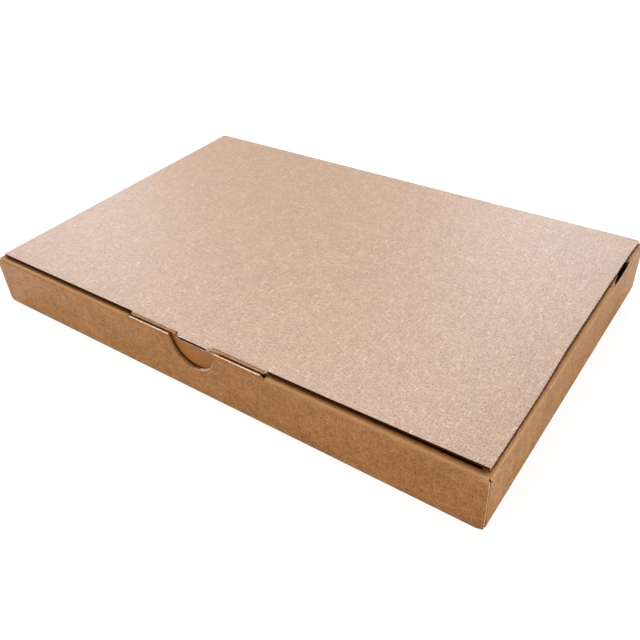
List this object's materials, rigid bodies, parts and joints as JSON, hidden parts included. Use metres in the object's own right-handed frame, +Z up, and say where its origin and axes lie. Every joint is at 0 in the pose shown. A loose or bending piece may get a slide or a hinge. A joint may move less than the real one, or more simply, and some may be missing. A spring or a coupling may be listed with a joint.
{
  "type": "pizza box",
  "caption": "Flat rectangular kraft board box with rolled walls, a hinged lid, a front tuck tab and a half-round thumb notch.",
  "frame": {"origin": "centre of the floor's underside, at the middle of the length and width", "axes": "+X along the long side, to the right when facing the thumb notch; +Y from the notch towards the lid's hinge; +Z up"},
  "size_m": [0.35, 0.227, 0.0367],
  "materials": {
    "kraft_board": "matt brown kraft liner with fine fibres",
    "kraft_board_lid": "matt brown kraft liner with fine fibres"
  },
  "bodies": {
    "tray": {"tray": "kraft_board"},
    "lid": {"lid": "kraft_board_lid"}
  },
  "joints": [
    {"name": "lid_hinge", "type": "hinge", "parent": "tray", "child": "lid", "pos_m": [0, 0.11305, 0.03625], "axis": [-1, 0, 0], "range_deg": [0, 180]}
  ]
}
